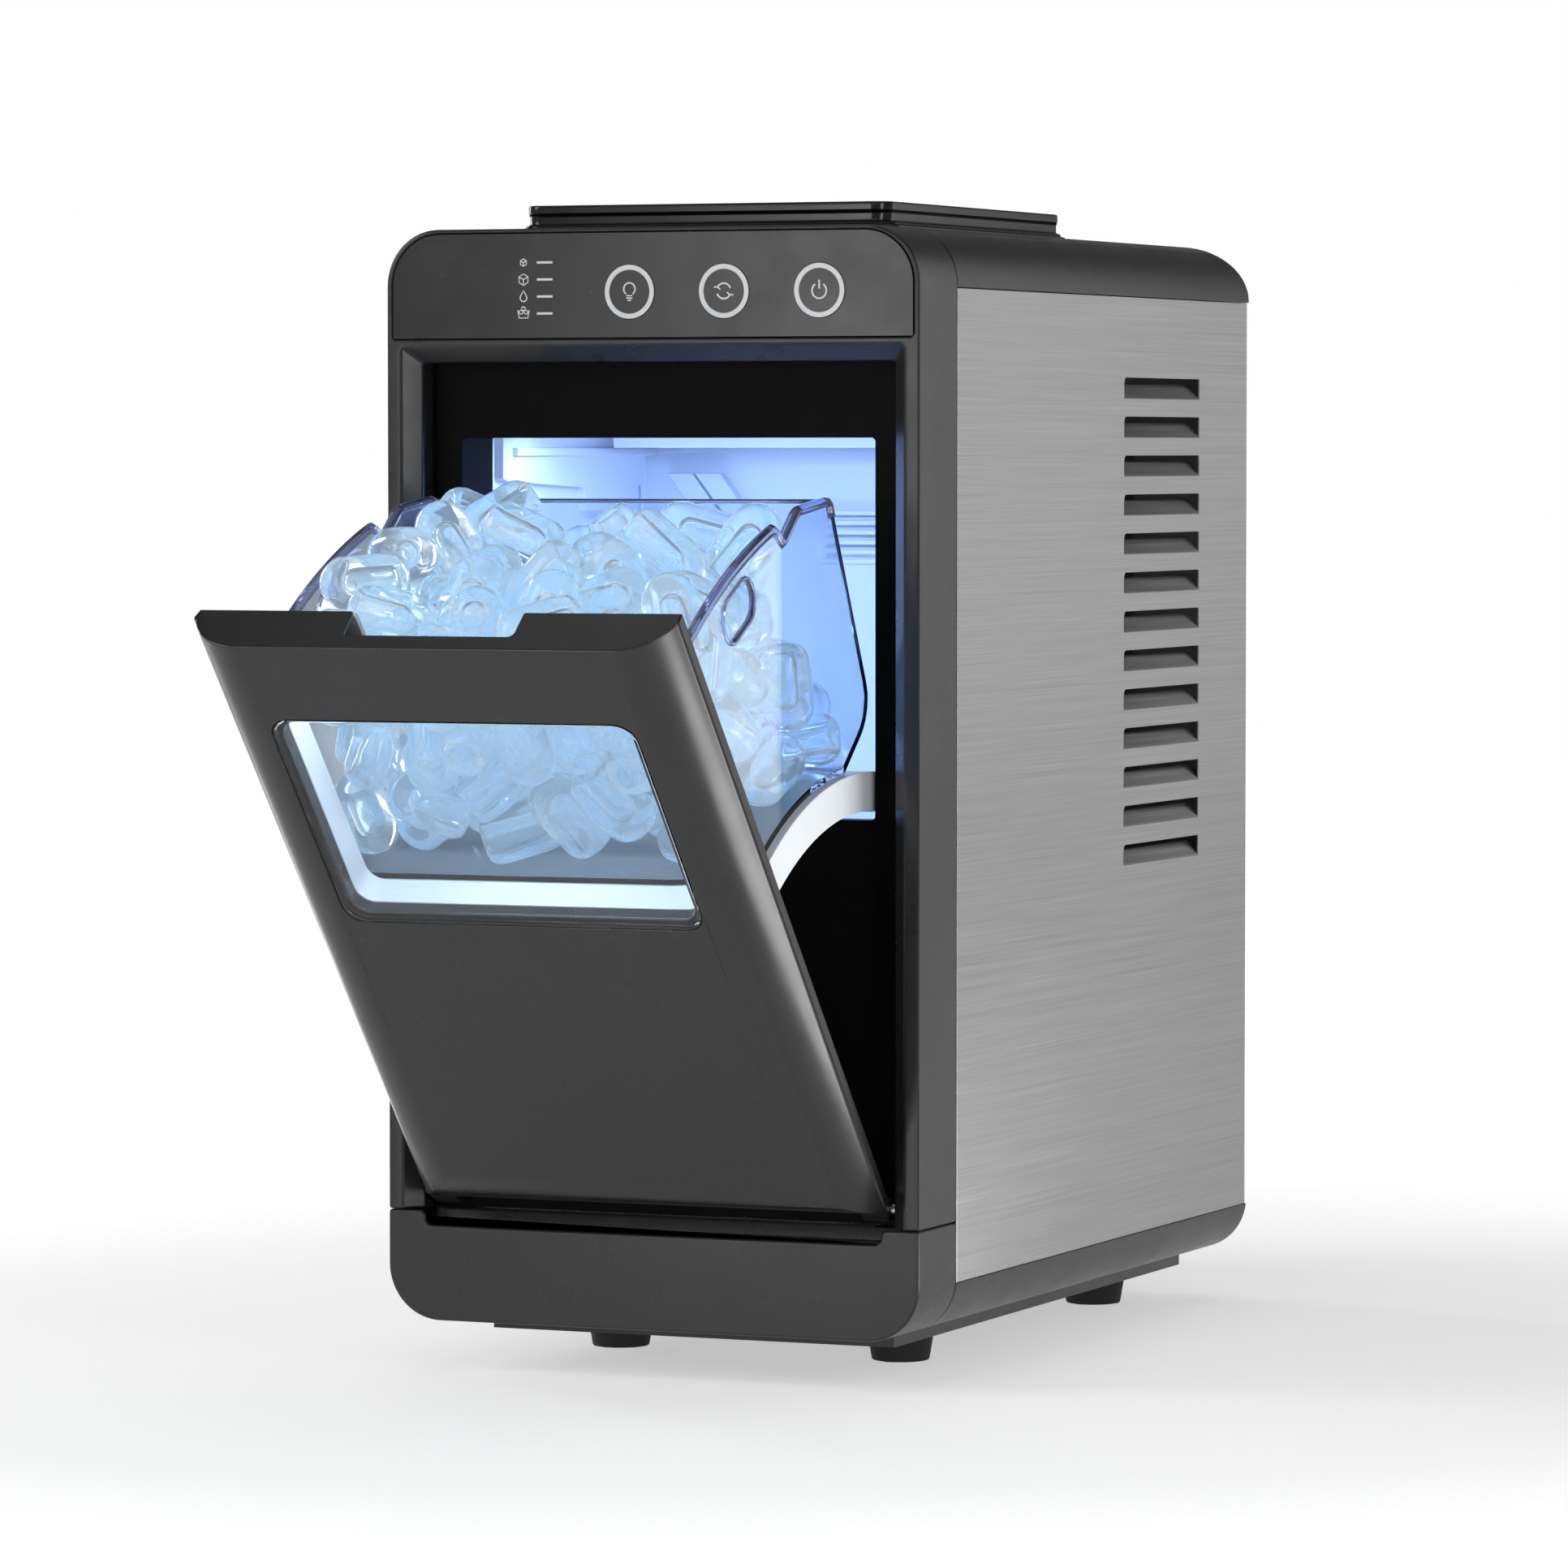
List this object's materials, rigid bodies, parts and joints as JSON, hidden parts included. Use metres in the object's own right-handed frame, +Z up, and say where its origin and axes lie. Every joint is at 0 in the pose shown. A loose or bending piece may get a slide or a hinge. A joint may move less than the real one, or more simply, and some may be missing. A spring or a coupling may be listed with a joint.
{
  "type": "ice maker",
  "caption": "Upright countertop ice maker: louvered steel sides, dark bezel with round buttons, lift-off top lid, and a tilt-out windowed door carrying a clear ice basket.",
  "frame": {"origin": "on the ground, under the middle of the machine's box with the door open", "axes": "+Z up, the door and controls face -Y, +X is on the right as one faces the door"},
  "size_m": [0.236, 0.6053, 0.4802],
  "materials": {
    "dark_plastic": "satin moulded ABS",
    "overlay_plastic": "semi-gloss film",
    "button_plastic": "semi-gloss with a pale printed ring",
    "frame_plastic": "satin",
    "lid_plastic": "gloss",
    "white_plastic": "smooth moulded",
    "clear_plastic": "clear",
    "window_plastic": "clear, polished",
    "light_guide": "translucent",
    "lamp": "diffusing",
    "brushed_steel": "brushed front to back",
    "zinc_steel": "zinc coated sheet",
    "screw_steel": "plated",
    "pin_steel": "polished",
    "rubber": "matt",
    "black_plastic": "satin",
    "grey_plastic": "satin",
    "foam": "fine-celled",
    "aluminium": "rolled",
    "nickel": "nickel plated",
    "copper": "drawn copper tube",
    "brass": "plated",
    "black_enamel": "baked enamel",
    "circuit": "solder mask",
    "silicone": "translucent silicone"
  },
  "bodies": {
    "cabinet": {"front_bezel": "dark_plastic", "control_overlay": "overlay_plastic", "indicator_lights": "light_guide", "control_board": "circuit", "lower_fascia": "dark_plastic", "chamber_frame": "frame_plastic", "hinge_pins": "pin_steel", "top_cover": "dark_plastic", "fill_funnel": "white_plastic", "left_side_panel": "brushed_steel", "right_side_panel": "brushed_steel", "rear_panel": "zinc_steel", "rear_screws": "screw_steel", "base_skirt": "dark_plastic", "base_pan": "black_enamel", "feet": "rubber", "power_inlet": "black_plastic", "inlet_pins": "brass", "chamber_liner": "white_plastic", "rear_insulation": "foam", "side_insulation": "foam", "chamber_lamp": "lamp", "ice_level_sensors": "black_plastic", "evaporator": "nickel", "evaporator_coil": "copper", "tray_motor": "grey_plastic", "water_tank": "white_plastic", "water_pump": "black_plastic", "pump_hose": "silicone", "water_level_probe": "pin_steel", "drain_spout": "silicone", "compressor": "black_enamel", "compressor_cover": "black_plastic", "compressor_grommets": "rubber", "condenser_fins": "aluminium", "condenser_coil": "copper", "fan_shroud": "black_plastic", "fan_motor": "grey_plastic", "filter_drier": "copper", "discharge_line": "copper", "suction_line": "copper", "capillary_line": "copper", "power_board": "circuit"},
    "door": {"door_shell": "dark_plastic", "door_liner": "white_plastic", "door_window": "window_plastic", "window_gasket": "rubber", "door_gasket": "rubber", "door_magnets": "nickel", "bin_carrier": "white_plastic"},
    "basket": {"ice_basket": "clear_plastic"},
    "light_button": {"light_button": "button_plastic"},
    "select_button": {"select_button": "button_plastic"},
    "power_button": {"power_button": "button_plastic"},
    "lid": {"top_lid": "lid_plastic"},
    "tray": {"water_tray": "white_plastic", "tray_shaft": "pin_steel"},
    "fan": {"fan_rotor": "black_plastic"},
    "drain_plug": {"drain_plug": "silicone"}
  },
  "joints": [
    {"name": "door_tilt", "type": "hinge", "parent": "cabinet", "child": "door", "pos_m": [0, -0.07828, 0.074], "axis": [1, 0, 0], "range_deg": [-40.5, 0]},
    {"name": "basket_lift", "type": "slide", "parent": "door", "child": "basket", "axis": [0, -0.6494, 0.7604], "range_m": [0, 0.012]},
    {"name": "light_press", "type": "slide", "parent": "cabinet", "child": "light_button", "axis": [0, 1, 0], "range_m": [0, 0.0008], "stiffness_N_per_m": 1500, "springref_m": -0.0004},
    {"name": "select_press", "type": "slide", "parent": "cabinet", "child": "select_button", "axis": [0, 1, 0], "range_m": [0, 0.0008], "stiffness_N_per_m": 1500, "springref_m": -0.0004},
    {"name": "power_press", "type": "slide", "parent": "cabinet", "child": "power_button", "axis": [0, 1, 0], "range_m": [0, 0.0008], "stiffness_N_per_m": 1500, "springref_m": -0.0004},
    {"name": "lid_lift", "type": "slide", "parent": "cabinet", "child": "lid", "axis": [0, 0, 1], "range_m": [0, 0.04]},
    {"name": "tray_tilt", "type": "hinge", "parent": "cabinet", "child": "tray", "pos_m": [0, 0.11072, 0.406], "axis": [1, 0, 0], "range_deg": [0, 45]},
    {"name": "fan_spin", "type": "hinge", "parent": "cabinet", "child": "fan", "pos_m": [0, 0.28172, 0.32], "axis": [0, 1, 0], "continuous": true},
    {"name": "drain_pull", "type": "slide", "parent": "cabinet", "child": "drain_plug", "axis": [0, 1, 0], "range_m": [0, 0.02]}
  ]
}
